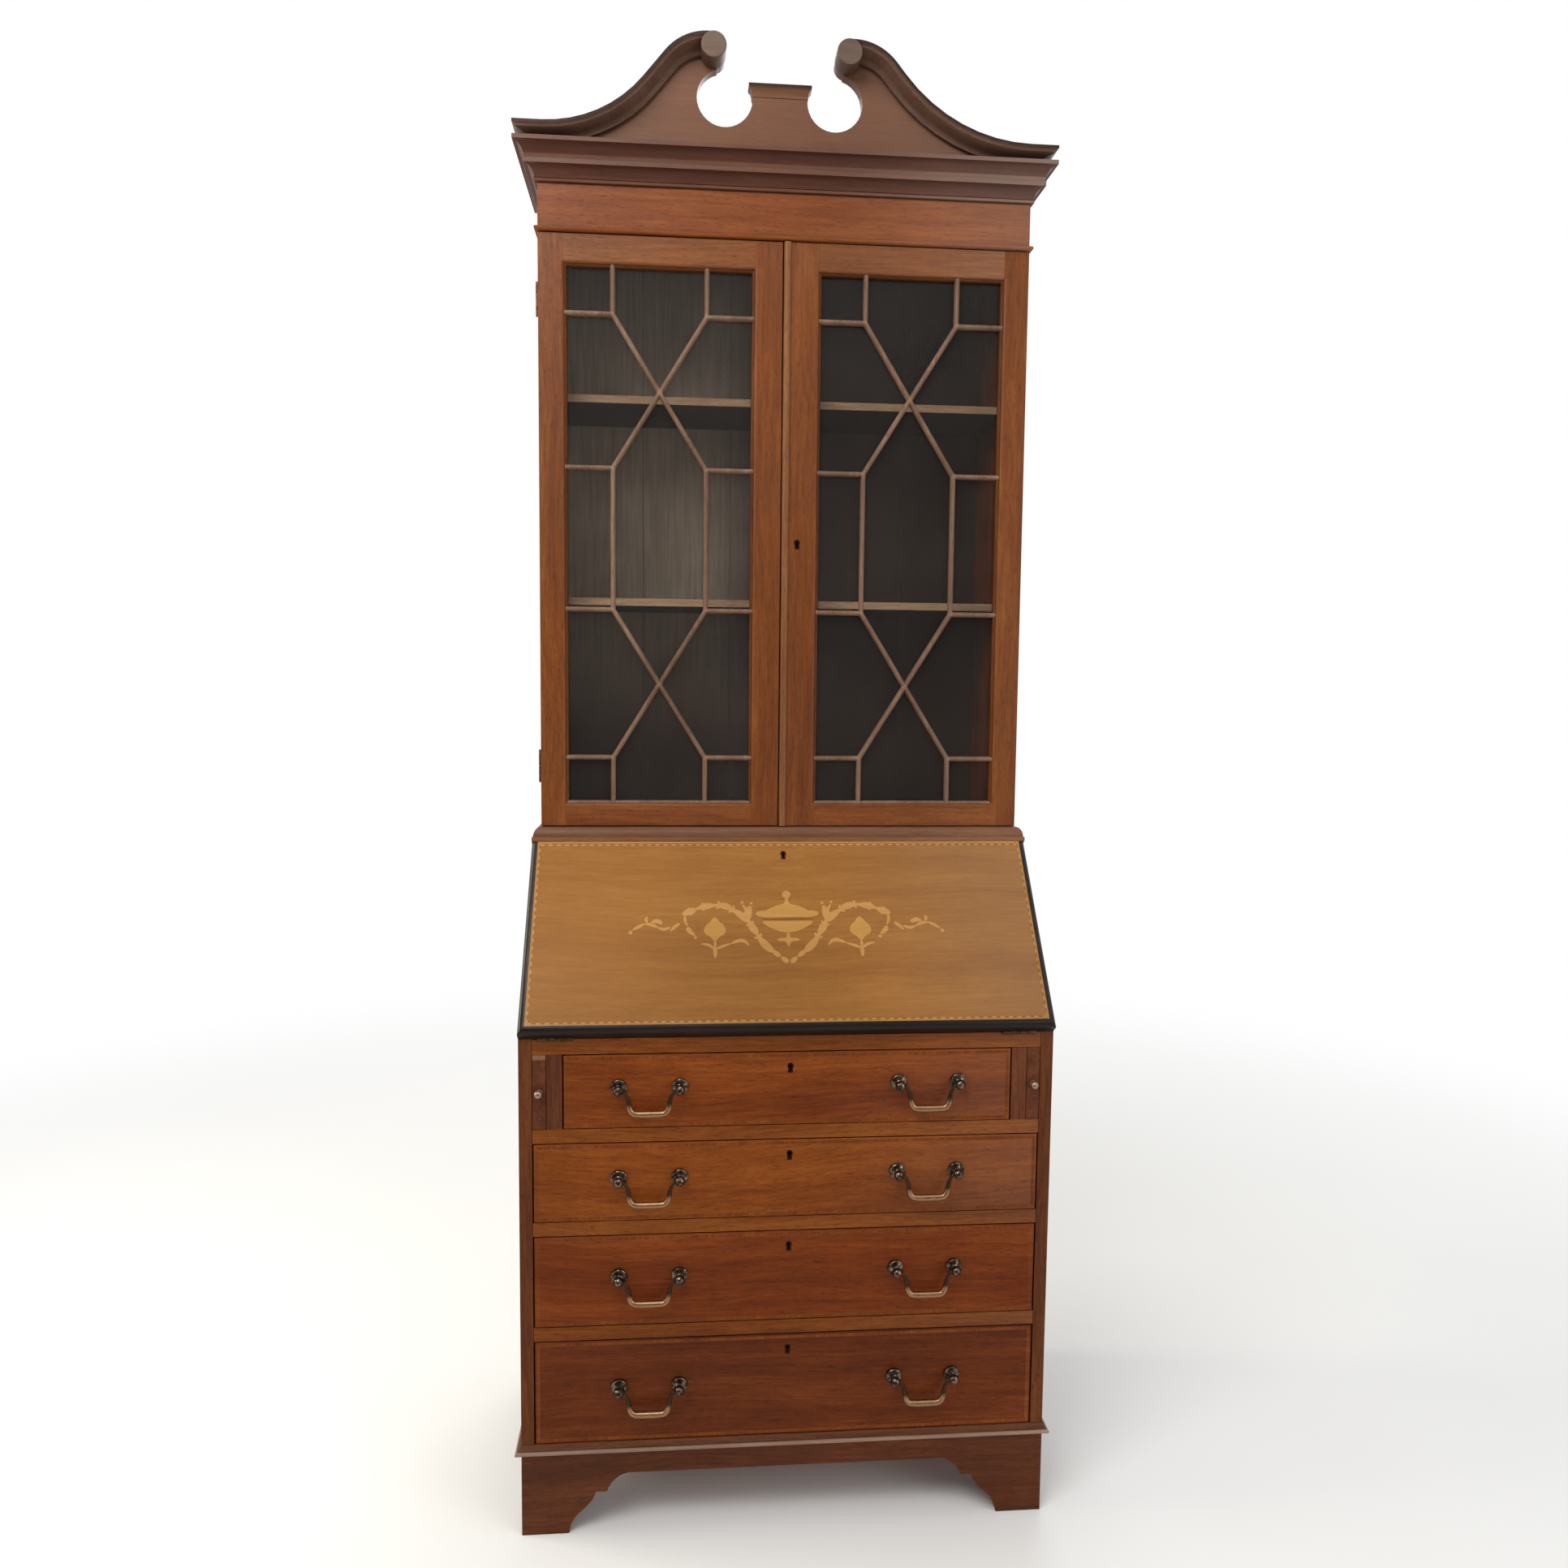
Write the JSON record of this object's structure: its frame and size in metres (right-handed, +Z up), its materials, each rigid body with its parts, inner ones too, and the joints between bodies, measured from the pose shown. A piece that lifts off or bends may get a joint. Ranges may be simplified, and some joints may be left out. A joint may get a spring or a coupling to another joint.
{
  "type": "bureau bookcase",
  "caption": "Bureau bookcase: sloping fall on pull-out supports over graduated drawers with swan-neck bails, below a glazed bookcase with lattice doors and a broken swan-neck pediment.",
  "frame": {"origin": "centre of the footprint at floor level, under the middle of the bounding box", "axes": "+Z up, +X to the right seen from the front, -Y to the front (drawers, fall and doors face -Y)"},
  "size_m": [0.799, 0.4522, 2.158],
  "materials": {
    "mahogany": "polished red-brown mahogany",
    "door_mahogany": "polished orange-brown mahogany",
    "cornice_mahogany": "polished dark mahogany",
    "fall_veneer": "polished honey-coloured veneer with inlay",
    "lining": "plain oak",
    "brass": "aged brass",
    "glass": "clear"
  },
  "bodies": {
    "carcase": {"plinth_front": "mahogany", "plinth_left": "mahogany", "plinth_right": "mahogany", "base_moulding": "mahogany", "bureau_side_left": "mahogany", "bureau_side_right": "mahogany", "bureau_bottom": "mahogany", "bureau_back": "mahogany", "bureau_top": "mahogany", "drawer_rail_1": "mahogany", "drawer_rail_2": "mahogany", "drawer_rail_3": "mahogany", "writing_bed": "mahogany", "pigeonholes": "lining", "fall_hinge_left": "brass", "fall_hinge_right": "brass", "waist_moulding": "cornice_mahogany", "bookcase_bottom": "door_mahogany", "bookcase_side_left": "door_mahogany", "bookcase_side_right": "door_mahogany", "bookcase_top": "door_mahogany", "bookcase_back": "mahogany", "shelf_lower": "door_mahogany", "shelf_upper": "door_mahogany", "door_hinge_left_lower": "brass", "door_hinge_left_upper": "brass", "door_hinge_right_lower": "brass", "door_hinge_right_upper": "brass", "frieze": "door_mahogany", "cornice": "cornice_mahogany", "pediment_board": "cornice_mahogany", "swan_neck_left": "cornice_mahogany", "swan_neck_right": "cornice_mahogany"},
    "fall": {"fall_panel": "fall_veneer"},
    "door_left": {"door_left_frame": "door_mahogany", "door_left_lattice": "door_mahogany", "door_left_glass": "glass"},
    "door_right": {"door_right_frame": "door_mahogany", "door_right_lattice": "door_mahogany", "door_right_glass": "glass"},
    "loper_left": {"loper_left": "mahogany", "loper_knob_left": "brass"},
    "loper_right": {"loper_right": "mahogany", "loper_knob_right": "brass"},
    "drawer_1": {"drawer_1_front": "mahogany", "drawer_1_box": "lining"},
    "drawer_2": {"drawer_2_front": "mahogany", "drawer_2_box": "lining"},
    "drawer_3": {"drawer_3_front": "mahogany", "drawer_3_box": "lining"},
    "drawer_4": {"drawer_4_front": "mahogany", "drawer_4_box": "lining"},
    "bail_1_left": {"drawer_1_bail_left": "brass"},
    "bail_1_right": {"drawer_1_bail_right": "brass"},
    "bail_2_left": {"drawer_2_bail_left": "brass"},
    "bail_2_right": {"drawer_2_bail_right": "brass"},
    "bail_3_left": {"drawer_3_bail_left": "brass"},
    "bail_3_right": {"drawer_3_bail_right": "brass"},
    "bail_4_left": {"drawer_4_bail_left": "brass"},
    "bail_4_right": {"drawer_4_bail_right": "brass"}
  },
  "joints": [
    {"name": "fall_hinge", "type": "hinge", "parent": "carcase", "child": "fall", "pos_m": [0, -0.2039, 0.7298], "axis": [1, 0, 0], "range_deg": [0, 128]},
    {"name": "door_left_hinge", "type": "hinge", "parent": "carcase", "child": "door_left", "pos_m": [-0.3705, 0.00033, 1.0067], "axis": [0, 0, -1], "range_deg": [0, 110]},
    {"name": "door_right_hinge", "type": "hinge", "parent": "carcase", "child": "door_right", "pos_m": [0.3705, 0.00033, 1.0067], "axis": [0, 0, 1], "range_deg": [0, 110]},
    {"name": "loper_left_slide", "type": "slide", "parent": "carcase", "child": "loper_left", "axis": [0, -1, 0], "range_m": [0, 0.26]},
    {"name": "loper_right_slide", "type": "slide", "parent": "carcase", "child": "loper_right", "axis": [0, -1, 0], "range_m": [0, 0.26]},
    {"name": "drawer_1_slide", "type": "slide", "parent": "carcase", "child": "drawer_1", "axis": [0, -1, 0], "range_m": [0, 0.28]},
    {"name": "drawer_2_slide", "type": "slide", "parent": "carcase", "child": "drawer_2", "axis": [0, -1, 0], "range_m": [0, 0.28]},
    {"name": "drawer_3_slide", "type": "slide", "parent": "carcase", "child": "drawer_3", "axis": [0, -1, 0], "range_m": [0, 0.28]},
    {"name": "drawer_4_slide", "type": "slide", "parent": "carcase", "child": "drawer_4", "axis": [0, -1, 0], "range_m": [0, 0.28]},
    {"name": "bail_1_left_swing", "type": "hinge", "parent": "drawer_1", "child": "bail_1_left", "pos_m": [-0.199, -0.2199, 0.65905], "axis": [-1, 0, 0], "range_deg": [-15, 165]},
    {"name": "bail_1_right_swing", "type": "hinge", "parent": "drawer_1", "child": "bail_1_right", "pos_m": [0.199, -0.2199, 0.65905], "axis": [-1, 0, 0], "range_deg": [-15, 165]},
    {"name": "bail_2_left_swing", "type": "hinge", "parent": "drawer_2", "child": "bail_2_left", "pos_m": [-0.199, -0.2199, 0.5278], "axis": [-1, 0, 0], "range_deg": [-15, 165]},
    {"name": "bail_2_right_swing", "type": "hinge", "parent": "drawer_2", "child": "bail_2_right", "pos_m": [0.199, -0.2199, 0.5278], "axis": [-1, 0, 0], "range_deg": [-15, 165]},
    {"name": "bail_3_left_swing", "type": "hinge", "parent": "drawer_3", "child": "bail_3_left", "pos_m": [-0.199, -0.2199, 0.38305], "axis": [-1, 0, 0], "range_deg": [-15, 165]},
    {"name": "bail_3_right_swing", "type": "hinge", "parent": "drawer_3", "child": "bail_3_right", "pos_m": [0.199, -0.2199, 0.38305], "axis": [-1, 0, 0], "range_deg": [-15, 165]},
    {"name": "bail_4_left_swing", "type": "hinge", "parent": "drawer_4", "child": "bail_4_left", "pos_m": [-0.199, -0.2199, 0.21905], "axis": [-1, 0, 0], "range_deg": [-15, 165]},
    {"name": "bail_4_right_swing", "type": "hinge", "parent": "drawer_4", "child": "bail_4_right", "pos_m": [0.199, -0.2199, 0.21905], "axis": [-1, 0, 0], "range_deg": [-15, 165]}
  ]
}
